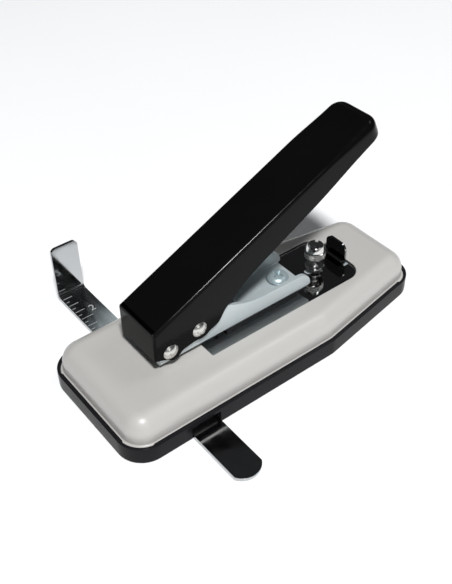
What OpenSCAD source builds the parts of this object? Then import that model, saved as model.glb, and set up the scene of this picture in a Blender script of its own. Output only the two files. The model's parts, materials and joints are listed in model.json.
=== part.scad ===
// Table-top slot punch: a lever handle drives a slot-shaped blade through a
// card lying on the base; a depth gauge and a side guide set where the slot falls.
// Frame: X runs from the nose to the tail, -Y is the side of the guide's tongue,
// +Y the side of its upturned tab, Z is up, and the base stands on Z = 0.

/* [Base] */
// Length of the base, nose to tail
base_len = 186; // [180:1:200]
// Width of the base ahead of its knees
base_wid = 75.5; // [72:0.5:80]
// Width of the base at its tail, before the corners are rounded
tail_wid = 52.5; // [50:0.5:60]
// Place of the knees, where the sides begin to taper
knee_x = 24.3; // [10:0.1:35]
// Corner radius of the base in plan
base_r = 13.5; // [12:0.5:16]
// Height of the tray's rim above the table
rim_z = 9.7; // [9.7:0.1:10.5]
// Height of the cover's flat top, on which the card lies
deck_z = 22; // [22:0.1:22.4]
// Radius of the cover's rolled upper edge
roll_r = 9; // [7:0.5:10]
// Half width of the opening in the cover
open_half = 18.7; // [18:0.1:19]
// Rear end of the opening in the cover
open_rear = 61.2; // [61:0.1:63]

/* [Frame arm] */
// Underside of the arm, above the card throat
arm_z = 24.5; // [24.3:0.1:25]
// Sheet thickness of the arm
arm_t = 1.9; // [1.5:0.1:2]
// Half width of the arm across its flanges
arm_half = 12.3; // [12:0.1:12.3]
// Rear end of the arm's flanges
arm_rear = 30; // [29:0.5:32]

/* [Handle] */
// Rise of the handle above level, at rest
handle_rise = 24.9; // [23:0.1:26]
// Length of the handle from the pivot to its free end
handle_len = 141; // [128:0.5:142]
// Half width of the handle across its side walls
handle_half = 14; // [13.8:0.1:14.5]
// Sheet thickness of the handle
handle_t = 1.2; // [1:0.1:1.2]
// Height of the handle's top face above the pivot line
handle_top = 16.5; // [16:0.1:18]

/* [Punch] */
// Length of the punched slot
slot_len = 14; // [12:0.5:15]
// Width of the punched slot
slot_wid = 3; // [2.5:0.1:3.2]
// Travel of the blade
punch_travel = 5.24; // [4:0.01:5.3]

/* [Guides] */
// Width of the side guide's strip
guide_wid = 15.4; // [14:0.1:16]
// Inner face of the side guide's tab, from the centre plane
guide_tab_y = 82.7; // [60:0.1:100]
// End of the side guide's tongue, from the centre plane
guide_tongue_y = 71.7; // [60:0.1:90]
// Top of the side guide's tab
guide_tab_z = 33.5; // [28:0.1:45]
// Top of the depth gauge's finger tab
gauge_tab_z = 32; // [28:0.1:36]

/* [Hidden] */
$fn = 48;
eps = 0.01;

// Colours
black_plastic = [0.06, 0.06, 0.07];
black_paint = [0.03, 0.03, 0.035];
grey_paint = [0.79, 0.77, 0.76];
zinc = [0.66, 0.72, 0.76];
bright_steel = [0.78, 0.78, 0.8];
tool_steel = [0.5, 0.5, 0.52];
rubber_grey = [0.1, 0.1, 0.1];

// Pad and tray
pad_t = 0.8;
tray_z = 0.4;
tray_floor = 2.0;
tray_wall = 1.4;
ledge_in = 2.8;
lip_seat_z = 7.9;
rim_lip_in = 2.1;
rim_lip_t = 0.7;

// Cover
cover_t = 1;
cover_in = 3;
cover_lip_in = 1.6;
open_front = -35.5;
open_r = 9;

// Bed under the cover, which carries the arm, the die and the guides
bed_z = 19.3;
bed_t = 1.6;
bed_half = 21;
bed_front = -72;
bed_rear = 72;
bed_foot_z = 2.4;
stud_r = 3;

// Pivot and drive pin
pivot_x = -55.3;
pivot_z = 32.9;
pivot_pin_r = 2.5;
drive_x = -39;
drive_z = 36.9;
drive_pin_r = 2;
run_gap = 0.05;
dome_r = 3.9;
dome_h = 1.8;

// Arm fixing
screw_xs = [19.3, -14];
screw_r = 2.7;
screw_head_r = 5.6;
screw_head_h = 2.9;
lock_washer_t = 0.9;
nut_flats = 8.8;
nut_h = 3.5;
spacer_front = -19;
spacer_rear = 25.5;
spacer_half = 8;

// Punch
blade_z = arm_z + 0.3;
blade_top_z = 34.6;
head_z = 32;
head_top_z = 41.4;
head_x = drive_x + 0.2;
head_half_x = 10.6;
spring_dx = 6.6;
spring_hole_r = 2.6;
spring_seat_z = 38;
wire_r = 0.3;
coil_r = 2.1;
coil_turns = 6;

// Depth gauge
gauge_z = bed_z + 0.3;
gauge_t = 1.1;
gauge_half = 19.8;
gauge_prong_front = -44;
gauge_lip_x = -25;
gauge_rear = 60;
gauge_ear_rear = 63;
gauge_tab_half = 7;
gauge_tab_r = 4;
gauge_fwd = 4;
gauge_back = 0.8;

// Thumbscrew
thumb_x = 44.3;
thumb_r = 2;
thumb_head_r = 5.5;
thumb_knurl_z = 28.4;
thumb_knurl_top = 33;
thumb_top = 36.2;
washer_r = 4.8;
washer_z = gauge_z + gauge_t + 0.1;
washer_t = 2.3;
washer_flange_t = 0.8;
washer_sleeve_r = 2.8;

// Side guide
guide_x = -53.9;
guide_z = 0.85;
guide_t = 1.5;
guide_gap = 0.3;
guide_notch_z = 7.6;
keeper_z = 5.6;
keeper_t = 1;

// ---------- helpers ----------

// Points along an arc, from angle a0 to angle a1
function arc(c, r, a0, a1, n = 8) =
    [for (i = [0:n]) c + r * [cos(a0 + (a1 - a0) * i / n), sin(a0 + (a1 - a0) * i / n)]];

// Rounded outline of the base, moved inwards by a given amount
taper = atan((base_wid - tail_wid) / 2 / (base_len / 2 - knee_x));
tail_cx = base_len / 2 - base_r;
tail_cy = base_wid / 2 - ((tail_cx - knee_x) * sin(taper) + base_r) / cos(taper);
knee_c = [knee_x - base_r * tan(taper / 2), base_wid / 2 - base_r];
nose_c = [-base_len / 2 + base_r, base_wid / 2 - base_r];
function flip(c) = [c[0], -c[1]];
function outline(inset, n = 8) = concat(
    arc(flip(nose_c), base_r - inset, 180, 270, n),
    arc(flip(knee_c), base_r - inset, 270, 270 + taper, 2),
    arc([tail_cx, -tail_cy], base_r - inset, 270 + taper, 360, n),
    arc([tail_cx, tail_cy], base_r - inset, 0, 90 - taper, n),
    arc(knee_c, base_r - inset, 90 - taper, 90, 2),
    arc(nose_c, base_r - inset, 90, 180, n));

// Upright slab of the base's outline
module slab(inset, z0, z1) {
    translate([0, 0, z0]) linear_extrude(z1 - z0) polygon(outline(inset));
}

// Box given by its two corners
module block(low, high) {
    translate(low) cube(high - low);
}

// Shape drawn in X and Z, made w thick across Y and centred on the XZ plane
module across_y(w) {
    rotate([90, 0, 0]) translate([0, 0, -w / 2]) linear_extrude(w) children();
}

// Shape drawn in Y and Z, run along X from x0 to x1
module along_x(x0, x1) {
    translate([x0, 0, 0]) rotate([90, 0, 90]) linear_extrude(x1 - x0) children();
}

// Cylinder across Y at a point of the XZ plane
module cross_pin(x, z, r, y0, y1) {
    translate([x, y1, z]) rotate([90, 0, 0]) cylinder(r = r, h = y1 - y0);
}

// Upright cylinder
module post(x, y, r, z0, z1) {
    translate([x, y, z0]) cylinder(r = r, h = z1 - z0);
}

// Upright hole or blade with round ends, long across Y
module slot_across(x, len, wid, z0, z1) {
    block([x - wid / 2, -(len - wid) / 2, z0], [x + wid / 2, (len - wid) / 2, z1]);
    for (s = [-1, 1]) post(x, s * (len - wid) / 2, wid / 2, z0, z1);
}

// Low round rivet head on the face y = side * y0
module dome(x, z, y0, side) {
    ball_r = (dome_r * dome_r + dome_h * dome_h) / (2 * dome_h);
    intersection() {
        translate([x, side * (y0 + dome_h - ball_r), z]) sphere(r = ball_r, $fn = 64);
        side_pin(x, z, dome_r, side, y0, y0 + dome_h);
    }
}

// Cylinder across Y on one side only, from y = side * y0 to y = side * y1
module side_pin(x, z, r, side, y0, y1) {
    cross_pin(x, z, r, min(side * y0, side * y1), max(side * y0, side * y1));
}

// ---------- base ----------

module base_pad() {
    color(rubber_grey) slab(3.5, 0, pad_t);
}

module chip_tray() {
    corner_keep = 18;
    color(black_plastic) difference() {
        slab(0, tray_z, rim_z);
        slab(3.4, 0, pad_t);
        slab(ledge_in, tray_floor + tray_z, lip_seat_z);
        slab(tray_wall, lip_seat_z - eps, rim_z - rim_lip_t);
        slab(rim_lip_in, rim_z - rim_lip_t - eps, rim_z + 1);
        // the inturned lip stops short of the corners
        intersection() {
            slab(tray_wall, rim_z - rim_lip_t - eps, rim_z + 1);
            union() {
                for (s = [-1, 1]) {
                    translate([-base_len / 2, s * base_wid / 2, rim_z])
                        cube([2 * corner_keep, 2 * corner_keep, 4], center = true);
                    translate([base_len / 2, s * tail_wid / 2, rim_z])
                        cube([2 * corner_keep, 2 * corner_keep, 4], center = true);
                }
            }
        }
        // channel for the side guide, open from the pad up to the rim
        block([guide_x - guide_wid / 2 - guide_gap, -base_wid, tray_z - 1],
            [guide_x + guide_wid / 2 + guide_gap, base_wid, guide_notch_z]);
    }
}

// Clearance for the side guide under the bed's walls
module guide_slots(w) {
    block([guide_x - guide_wid / 2 - guide_gap, -w / 2, guide_z - guide_gap],
        [guide_x + guide_wid / 2 + guide_gap, w / 2, guide_z + guide_t + guide_gap]);
}

// Solid with the cover's rolled edge: t is the depth below the outer skin. It is
// lofted through the base's outline, drawn in towards the top along a quarter circle.
module cover_form(t, z_low) {
    steps = 7;
    r = roll_r - t;
    levels = concat([[cover_in + t, z_low]],
        [for (i = [0:steps]) let (a = 90 * i / steps)
            [cover_in + t + r * (1 - cos(a)), deck_z - roll_r + r * sin(a)]]);
    count = len(outline(0));
    rings = len(levels);
    pts = [for (l = levels) for (p = outline(l[0])) [p[0], p[1], l[1]]];
    walls = [for (i = [0:rings - 2]) for (j = [0:count - 1])
        let (k = (j + 1) % count)
        [i * count + j, (i + 1) * count + j, (i + 1) * count + k, i * count + k]];
    bottom = [for (j = [0:count - 1]) j];
    top = [for (j = [count - 1:-1:0]) (rings - 1) * count + j];
    polyhedron(points = pts, faces = concat(walls, [bottom, top]), convexity = 4);
}

module cover_opening() {
    z0 = deck_z - 3;
    h = 6;
    translate([0, 0, z0]) linear_extrude(h) polygon(concat(
        [[open_front, -open_half]],
        arc([open_rear - open_r, -open_half + open_r], open_r, 270, 360),
        arc([open_rear - open_r, open_half - open_r], open_r, 0, 90),
        [[open_front, open_half]]));
}

module base_cover() {
    color(grey_paint) difference() {
        union() {
            cover_form(0, lip_seat_z);
            slab(cover_lip_in, lip_seat_z, lip_seat_z + cover_t);
        }
        cover_form(cover_t, lip_seat_z - 1);
        cover_opening();
        block([die_front - die_gap, -die_half - die_gap, deck_z - 3],
            [open_front + 1, die_half + die_gap, deck_z + 3]);
    }
}

module bed_channel() {
    color(zinc) difference() {
        union() {
            block([bed_front, -bed_half, bed_z - bed_t], [bed_rear, bed_half, bed_z]);
            for (s = [-1, 1])
                translate([bed_front, s * (bed_half - bed_t / 2) - bed_t / 2, bed_foot_z])
                    cube([bed_rear - bed_front, bed_t, bed_z - bed_foot_z]);
        }
        guide_slots(2 * bed_half + 2);
        slot_across(drive_x, slot_len + 3, slot_wid + 3, bed_z - bed_t - 1, bed_z + 1);
        for (x = screw_xs) post(x, 0, screw_r + 0.2, bed_z - bed_t - 1, bed_z + 1);
        post(thumb_x, 0, thumb_r + 0.3, bed_z - bed_t - 1, bed_z + 1);
        for (s = [-1, 1]) post(die_screw_x, s * die_screw_y, die_screw_r, bed_z - bed_t - 1, bed_z + 1);
        for (x = keeper_xs) cross_pin(x, keeper_rivet_z, keeper_rivet_r, -bed_half - 1, bed_half + 1);
    }
}

stud_places = [[-67, 14], [-67, -14], [67.5, 12], [67.5, -12]];
module cover_studs() {
    color(zinc) for (p = stud_places) post(p[0], p[1], stud_r, bed_z, deck_z - cover_t);
}

// ---------- die ----------

die_front = -47;
die_rear = -34.6;
die_half = 8.2;
die_gap = 0.2;
die_screw_x = -44.1;
die_screw_y = 4.5;
die_screw_r = 1.25;
die_screw_head_r = 2.3;
die_screw_head_h = 1.1;

module die_plate() {
    color(tool_steel) difference() {
        block([die_front, -die_half, bed_z], [die_rear, die_half, deck_z]);
        slot_across(drive_x, slot_len + 0.2, slot_wid + 0.2, bed_z - 1, deck_z + 1);
        for (s = [-1, 1]) {
            post(die_screw_x, s * die_screw_y, die_screw_r + run_gap, bed_z - 1, deck_z + 1);
            translate([die_screw_x, s * die_screw_y, deck_z - die_screw_head_h])
                cylinder(r1 = die_screw_r + run_gap, r2 = die_screw_head_r + run_gap,
                    h = die_screw_head_h + eps);
        }
    }
}

module die_screws() {
    color(bright_steel) for (s = [-1, 1]) difference() {
        translate([die_screw_x, s * die_screw_y, 0]) union() {
            translate([0, 0, bed_z - bed_t - 1]) cylinder(r = die_screw_r, h = deck_z - bed_z + bed_t);
            translate([0, 0, deck_z - die_screw_head_h])
                cylinder(r1 = die_screw_r, r2 = die_screw_head_r - 0.1, h = die_screw_head_h - 0.1);
        }
        translate([die_screw_x, s * die_screw_y, deck_z]) cube([4, 0.6, 1], center = true);
    }
}

// ---------- arm ----------

arm_top = 41.3;
arm_low = 34.3;
sweep_r = 46;
sweep_x = 2;
peak_x = sweep_x - sqrt(sweep_r * sweep_r - pow(sweep_r - (arm_top - 0.4 - arm_low), 2));
nose_r = 6;

// Side view of the arm's flanges
module arm_profile() {
    sweep_end = asin((sweep_x - peak_x) / sweep_r);
    polygon(concat(
        arc([pivot_x - 5 + 2.5, arm_z + 2.5], 2.5, 180, 270),
        [[arm_rear, arm_z]],
        arc([arm_rear - 7, arm_low - 7.3], 7, 0, 90),
        arc([sweep_x, arm_low + sweep_r], sweep_r, 270, 270 - sweep_end, 12),
        [[peak_x - 1.6, arm_top]],
        [[pivot_x + 9, arm_top], [pivot_x + 3.5, pivot_z + nose_r - 0.6]],
        arc([pivot_x, pivot_z], nose_r, 70, 180, 10)));
}

// End view of the arm: a channel with its web at the bottom
module arm_section() {
    bend = 2.4;
    inner = arm_half - arm_t;
    polygon(concat(
        [[-arm_half, arm_top + 1]],
        arc([-arm_half + bend, arm_z + bend], bend, 180, 270),
        arc([arm_half - bend, arm_z + bend], bend, 270, 360),
        [[arm_half, arm_top + 1], [inner, arm_top + 1]],
        arc([inner - 0.5, arm_z + arm_t + 0.5], 0.5, 0, -90, 3),
        arc([-inner + 0.5, arm_z + arm_t + 0.5], 0.5, 270, 180, 3),
        [[-inner, arm_top + 1]]));
}

// Upright slot in the flanges, in which the drive pin travels
module drive_slot(w) {
    half = drive_pin_r + 0.5;
    z1 = drive_z + 0.1;
    z0 = drive_z - punch_travel - 0.1;
    block([drive_x + 0.25 - half, -w / 2, z0], [drive_x + 0.25 + half, w / 2, z1]);
    for (z = [z0, z1]) cross_pin(drive_x + 0.25, z, half, -w / 2, w / 2);
}

module frame_arm() {
    web_cut = 2;
    web_half = arm_half - arm_t - 0.6;
    color(zinc) difference() {
        intersection() {
            along_x(pivot_x - 8, arm_rear + 1) arm_section();
            across_y(2 * arm_half + 2) arm_profile();
        }
        block([arm_rear - web_cut, -web_half, arm_z - 1], [arm_rear + 1, web_half, arm_z + 5]);
        cross_pin(pivot_x, pivot_z, pivot_pin_r + run_gap, -arm_half - 1, arm_half + 1);
        drive_slot(2 * arm_half + 2);
        slot_across(drive_x, slot_len + 0.3, slot_wid + 0.3, arm_z - 1, arm_z + arm_t + 1);
        for (x = screw_xs) post(x, 0, screw_r + 0.2, arm_z - 1, arm_z + arm_t + 1);
    }
}

module arm_spacer() {
    color(tool_steel) difference() {
        block([spacer_front, -spacer_half, bed_z], [spacer_rear, spacer_half, arm_z]);
        for (x = screw_xs) post(x, 0, screw_r + 0.2, bed_z - 1, arm_z + 1);
    }
}

// Pan-head cross-recess screws that hold the arm down
module arm_screws() {
    seat_z = arm_z + arm_t + lock_washer_t;
    dome_ball = 9;
    color(zinc) for (x = screw_xs) difference() {
        union() {
            post(x, 0, screw_r, bed_z - bed_t - nut_h - 0.8, seat_z + 0.5);
            intersection() {
                post(x, 0, screw_head_r, seat_z, seat_z + screw_head_h);
                translate([x, 0, seat_z + screw_head_h - dome_ball]) sphere(r = dome_ball, $fn = 64);
            }
        }
        translate([x, 0, seat_z + screw_head_h]) rotate([0, 0, 20]) {
            cube([6.4, 1.1, 3.2], center = true);
            cube([1.1, 6.4, 3.2], center = true);
        }
    }
}

module arm_lock_washers() {
    color(bright_steel) for (x = screw_xs) difference() {
        post(x, 0, 4.9, arm_z + arm_t, arm_z + arm_t + lock_washer_t);
        post(x, 0, screw_r + 0.15, arm_z, arm_z + arm_t + lock_washer_t + 1);
        // the split
        block([x, 0, arm_z], [x + 6, 0.6, arm_z + arm_t + lock_washer_t + 1]);
    }
}

module hex_nut(x, flats, hole_r, z0, z1) {
    difference() {
        translate([x, 0, z0]) cylinder(r = flats / 2 / cos(30), h = z1 - z0, $fn = 6);
        post(x, 0, hole_r, z0 - 1, z1 + 1);
    }
}

module arm_nuts() {
    under = bed_z - bed_t;
    color(zinc) for (x = screw_xs) hex_nut(x, nut_flats, screw_r + run_gap, under - nut_h, under);
}

// ---------- handle ----------

drive_arm = norm([drive_x - pivot_x, drive_z - pivot_z]);
drive_angle = atan2(drive_z - pivot_z, drive_x - pivot_x) - handle_rise;
drive_uv = drive_arm * [cos(drive_angle), sin(drive_angle)];

// Foot of the handle's front face in the handle's own frame, in which u runs
// along its top face and v stands square to it; both start at the pivot
front_foot = [-8.24, 1.95];
function front_at(v, inset) =
    [front_foot[0] + (inset + (v - front_foot[1]) * sin(handle_rise)) / cos(handle_rise), v];

// Side view of the handle's outer skin: deep ears carry the rivets, and the wall
// grows shallower towards the free end
module handle_profile() {
    tip_r = 4;
    nose_fillet = 2;
    nose_cu = front_at(handle_top - nose_fillet, nose_fillet)[0];
    polygon(concat(
        arc([nose_cu, handle_top - nose_fillet], nose_fillet, 180 - handle_rise, 90, 4),
        arc([handle_len - tip_r, handle_top - tip_r], tip_r, 90, 0),
        arc([handle_len - 3.4, 10.3], 3.4, 0, -85, 6),
        [[121, 5.5], [111, 4.2], [98, 2.6], [76, 1.2], [51, -0.2], [43, -1.7], [35, -4.2]],
        [[31.6, -4.9], [29, -6.4], [26.1, -8.3], [24.5, -9], [21.8, -9.1]],
        arc(drive_uv, 6, -65, -120, 6),
        [[10.9, -6.6], [8.7, -6.2], [5.4, -5.3], [3.6, -5]],
        arc([0, 0], 6, -75, -115, 6),
        [[-3.7, -3.3], [-5.4, -1]],
        [front_foot]));
}

// The same view of the hollow, which is open below
module handle_hollow() {
    tip_r = 4 - handle_t;
    top = handle_top - handle_t;
    polygon(concat(
        [front_at(top, handle_t)],
        arc([handle_len - 4, handle_top - 4], tip_r, 90, 0),
        [[handle_len - handle_t, -20], front_at(-20, handle_t)]));
}

// End view of the handle, with its rolled long edges
module handle_section(t) {
    half = handle_half - t;
    top = handle_top - t;
    r = 2 - t / 2;
    polygon(concat(
        [[-half, -21], [half, -21]],
        arc([half - r, top - r], r, 0, 90),
        arc([-half + r, top - r], r, 90, 180)));
}

// Plan view of the handle, with its rounded free end
module handle_plan(t) {
    half = handle_half - t;
    r = 7 - t;
    end = handle_len - t;
    polygon(concat(
        [[-30, -half]],
        arc([end - r, -half + r], r, 270, 360),
        arc([end - r, half - r], r, 0, 90),
        [[-30, half]]));
}

module handle_skin(t) {
    intersection() {
        across_y(2 * handle_half + 2) children();
        along_x(-25, handle_len + 5) handle_section(t);
        translate([0, 0, -21]) linear_extrude(60) handle_plan(t);
    }
}

module handle() {
    w = 2 * handle_half + 2;
    color(black_paint) translate([pivot_x, 0, pivot_z]) rotate([0, -handle_rise, 0]) difference() {
        handle_skin(0) handle_profile();
        handle_skin(handle_t) handle_hollow();
        cross_pin(0, 0, pivot_pin_r + run_gap, -w / 2, w / 2);
        cross_pin(drive_uv[0], drive_uv[1], drive_pin_r + run_gap, -w / 2, w / 2);
    }
}

module rivet(x, z, r, face) {
    union() {
        cross_pin(x, z, r, -face - 0.5, face + 0.5);
        for (s = [-1, 1]) dome(x, z, face, s);
    }
}

module pivot_rivet() {
    color(bright_steel) rivet(pivot_x, pivot_z, pivot_pin_r, handle_half + 0.1);
}

module drive_rivet() {
    color(bright_steel) rivet(drive_x, drive_z, drive_pin_r, handle_half);
}

// ---------- punch ----------

module punch_blade() {
    notch = 1;
    color(tool_steel) difference() {
        slot_across(drive_x, slot_len, slot_wid, blade_z, blade_top_z);
        // the hollow-ground cutting edge
        translate([drive_x, 0, blade_z]) across_y_wedge(notch);
        for (s = [-1, 1]) blade_pin_hole(s, run_gap);
    }
}

// Shallow roof-shaped notch across the blade's cutting face
module across_y_wedge(depth) {
    half = slot_len / 2 - 1.2;
    rotate([90, 0, 90]) translate([0, 0, -slot_wid]) linear_extrude(2 * slot_wid)
        polygon([[-half, -eps], [0, depth], [half, -eps]]);
}

blade_pin_y = 4.6;
blade_pin_z = 33.3;
blade_pin_r = 0.75;
module blade_pin_hole(s, gap) {
    translate([head_x - head_half_x - 1, s * blade_pin_y, blade_pin_z]) rotate([0, 90, 0])
        cylinder(r = blade_pin_r + gap, h = 2 * head_half_x + 2);
}

module punch_head() {
    head_half_y = arm_half - arm_t - 0.3;
    slide = 0.25;
    pin_hole_r = drive_pin_r + run_gap;
    color(tool_steel) difference() {
        block([head_x - head_half_x, -head_half_y, head_z],
            [head_x + head_half_x, head_half_y, head_top_z]);
        slot_across(drive_x, slot_len + 2 * run_gap, slot_wid + 2 * run_gap, head_z - 1, blade_top_z + 0.1);
        // level slot in which the drive pin shifts as the handle swings
        block([drive_x, -arm_half, drive_z - pin_hole_r],
            [drive_x + 2 * slide, arm_half, drive_z + pin_hole_r]);
        for (x = [drive_x, drive_x + 2 * slide])
            cross_pin(x, drive_z, pin_hole_r, -arm_half, arm_half);
        for (s = [-1, 1]) {
            post(head_x + s * spring_dx, 0, spring_hole_r, head_z - 1, spring_seat_z);
            blade_pin_hole(s, run_gap);
        }
    }
}

module blade_pins() {
    color(bright_steel) for (s = [-1, 1])
        translate([head_x - head_half_x + 0.2, s * blade_pin_y, blade_pin_z]) rotate([0, 90, 0])
            cylinder(r = blade_pin_r, h = 2 * head_half_x - 0.4);
}

// One round-wire coil spring standing on z0
module coil(x, z0, z1) {
    per_turn = 14;
    sides = 6;
    rings = coil_turns * per_turn;
    rise = z1 - z0 - 2 * wire_r;
    pts = [for (i = [0:rings]) for (j = [0:sides - 1])
        let (a = 360 * i / per_turn, b = 360 * j / sides, r = coil_r + wire_r * cos(b))
        [x + r * cos(a), r * sin(a), z0 + wire_r + rise * i / rings + wire_r * sin(b)]];
    walls = [for (i = [0:rings - 1]) for (j = [0:sides - 1])
        let (k = (j + 1) % sides)
        [i * sides + j, (i + 1) * sides + j, (i + 1) * sides + k, i * sides + k]];
    caps = [[for (j = [0:sides - 1]) j], [for (j = [sides - 1:-1:0]) rings * sides + j]];
    polyhedron(points = pts, faces = concat(walls, caps), convexity = 10);
}

module return_springs() {
    color(bright_steel) for (s = [-1, 1])
        coil(head_x + s * spring_dx, arm_z + arm_t + 0.02, spring_seat_z - 0.05);
}

// ---------- depth gauge ----------

module depth_gauge() {
    z0 = gauge_z;
    z1 = gauge_z + gauge_t;
    notch_half = die_half + 0.25;
    relief = 1.5;
    window_front = spacer_front - gauge_back - 0.3;
    window_rear = spacer_rear + gauge_fwd + 0.3;
    slot_front = 40.4;
    slot_rear = thumb_x + gauge_fwd + 0.2;
    slot_r = thumb_r + 0.2;
    stop_half = arm_half - 4.8;
    joint_x = gauge_rear - 5;
    ear_in = gauge_tab_half + relief;
    color(black_paint) difference() {
        union() {
            block([gauge_prong_front, -gauge_half, z0], [gauge_rear, gauge_half, z1]);
            // ears beside the tab, which stay under the cover
            for (s = [-1, 1])
                translate([(joint_x + gauge_ear_rear) / 2, s * (ear_in + gauge_half) / 2, (z0 + z1) / 2])
                    cube([gauge_ear_rear - joint_x, gauge_half - ear_in, gauge_t], center = true);
            // card stop, turned up under the arm
            block([gauge_lip_x, -stop_half, z0], [gauge_lip_x + gauge_t, stop_half, arm_z - 0.4]);
            // finger tab, turned up at the tail
            translate([gauge_rear - gauge_t, 0, 0]) along_x(0, gauge_t) polygon(concat(
                [[-gauge_tab_half, z0], [gauge_tab_half, z0]],
                arc([gauge_tab_half - gauge_tab_r, gauge_tab_z - gauge_tab_r], gauge_tab_r, 0, 90),
                arc([-gauge_tab_half + gauge_tab_r, gauge_tab_z - gauge_tab_r], gauge_tab_r, 90, 180)));
        }
        block([gauge_prong_front - 1, -notch_half, z0 - 1], [gauge_lip_x, notch_half, z1 + 0.5]);
        block([window_front, -spacer_half - 0.3, z0 - 1], [window_rear, spacer_half + 0.3, z1 + 1]);
        block([slot_front, -slot_r, z0 - 1], [slot_rear, slot_r, z1 + 1]);
        for (x = [slot_front, slot_rear]) post(x, 0, slot_r, z0 - 1, z1 + 1);
        for (s = [-1, 1]) translate([gauge_rear - 2, s * (gauge_tab_half + relief / 2), z0])
            cube([4.2, relief, 4 * gauge_t], center = true);
    }
}

module thumbscrew() {
    slot_w = 1.7;
    knurls = 30;
    knurl = 0.4;
    collar_r = 2.5;
    collar_h = 0.6;
    shank_low = 13.2;
    chamfer = 1;
    color(bright_steel) difference() {
        union() {
            post(thumb_x, 0, thumb_r, shank_low, thumb_knurl_z + 1);
            post(thumb_x, 0, collar_r, washer_z + washer_t + run_gap, washer_z + washer_t + collar_h);
            translate([thumb_x, 0, thumb_knurl_z])
                cylinder(r1 = thumb_head_r - chamfer, r2 = thumb_head_r, h = chamfer);
            post(thumb_x, 0, thumb_head_r, thumb_knurl_z + chamfer, thumb_knurl_top);
            translate([thumb_x, 0, thumb_knurl_top])
                cylinder(r1 = thumb_head_r - 0.3, r2 = thumb_head_r - 1.2, h = thumb_top - thumb_knurl_top);
        }
        translate([thumb_x, 0, thumb_top]) rotate([0, 0, 36]) cube([12, slot_w, 4], center = true);
        for (i = [0:knurls - 1]) rotate_about(thumb_x, 360 * i / knurls)
            translate([thumb_x + thumb_head_r, 0, (thumb_knurl_z + thumb_knurl_top) / 2])
                rotate([0, 0, 45]) cube([knurl, knurl, thumb_knurl_top - thumb_knurl_z + 1], center = true);
    }
}

module rotate_about(x, angle) {
    translate([x, 0, 0]) rotate([0, 0, angle]) translate([-x, 0, 0]) children();
}

// Flanged sleeve that carries the thumbscrew's clamping force down to the gauge
module thumbscrew_washer() {
    top = washer_z + washer_t;
    color(bright_steel) difference() {
        union() {
            post(thumb_x, 0, washer_sleeve_r, washer_z, top);
            post(thumb_x, 0, washer_r, top - washer_flange_t, top);
        }
        post(thumb_x, 0, thumb_r + run_gap, washer_z - 1, washer_z + washer_t + 1);
    }
}

module thumbscrew_nut() {
    under = bed_z - bed_t;
    flats = 7;
    height = 3.2;
    color(zinc) hex_nut(thumb_x, flats, thumb_r + run_gap, under - height, under);
}

// ---------- side guide ----------

module side_guide() {
    half = guide_wid / 2;
    tongue_r = 8.7;
    tongue_a = asin(half / tongue_r);
    tab_r = 3;
    bend = 3.5;
    bend_y = guide_tab_y + guide_t - bend;
    color(bright_steel) union() {
        translate([guide_x, 0, guide_z]) linear_extrude(guide_t) polygon(concat(
            arc([0, -guide_tongue_y + tongue_r], tongue_r, 270 - tongue_a, 270 + tongue_a, 12),
            [[half, bend_y], [-half, bend_y]]));
        // bend and upturned tab
        along_x(guide_x - half, guide_x + half) polygon(concat(
            [[bend_y, guide_z + guide_t], [bend_y, guide_z]],
            arc([bend_y, guide_z + bend], bend, 270, 360, 6),
            arc([bend_y, guide_z + bend], bend - guide_t, 0, -90, 4)));
        translate([guide_x, guide_tab_y + guide_t, 0]) rotate([90, 0, 0]) linear_extrude(guide_t)
            polygon(concat(
                [[-half, guide_z + bend], [half, guide_z + bend]],
                arc([half - tab_r, guide_tab_z - tab_r], tab_r, 0, 90),
                arc([-half + tab_r, guide_tab_z - tab_r], tab_r, 90, 180)));
    }
}

keeper_xs = [-69.2, -43.6];
keeper_rivet_z = 10;
keeper_rivet_r = 1.5;
keeper_half = bed_half - bed_t - 0.1;
ear_half = 3;

// Strap over the side guide, with four ears riveted to the bed's walls
module guide_keeper() {
    color(zinc) difference() {
        union() {
            block([keeper_xs[0] - ear_half, -keeper_half, keeper_z],
                [keeper_xs[1] + ear_half, keeper_half, keeper_z + keeper_t]);
            for (x = keeper_xs) for (s = [-1, 1])
                translate([x - ear_half, s * (keeper_half - keeper_t / 2) - keeper_t / 2, keeper_z])
                    cube([2 * ear_half, keeper_t, keeper_rivet_z + ear_half - keeper_z]);
        }
        for (x = keeper_xs) cross_pin(x, keeper_rivet_z, keeper_rivet_r, -keeper_half - 1, keeper_half + 1);
    }
}

module keeper_rivets() {
    inner = keeper_half - keeper_t;
    head_r = 2.4;
    head_h = 0.8;
    color(bright_steel) for (x = keeper_xs) for (s = [-1, 1]) {
        side_pin(x, keeper_rivet_z, keeper_rivet_r - 0.02, s, inner, bed_half);
        side_pin(x, keeper_rivet_z, head_r, s, bed_half, bed_half + head_h);
        side_pin(x, keeper_rivet_z, head_r, s, inner - head_h, inner);
    }
}

// Bowed leaf that presses the side guide down on the pad
module guide_leaf_spring() {
    leaf_t = 0.4;
    span = 13;
    foot = 3;
    rise = keeper_z - leaf_t - 0.1 - (guide_z + guide_t);
    r = (span * span + rise * rise) / (2 * rise);
    a = asin(span / r);
    c = [0, keeper_z - rise + r];
    color(bright_steel) along_x(guide_x - 4, guide_x + 4) polygon(concat(
        [[-span - foot, keeper_z], [-span - foot, keeper_z - leaf_t]],
        arc(c, r + leaf_t, 270 - a, 270 + a, 12),
        [[span + foot, keeper_z - leaf_t], [span + foot, keeper_z]],
        arc(c, r, 270 + a, 270 - a, 12)));
}

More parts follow.
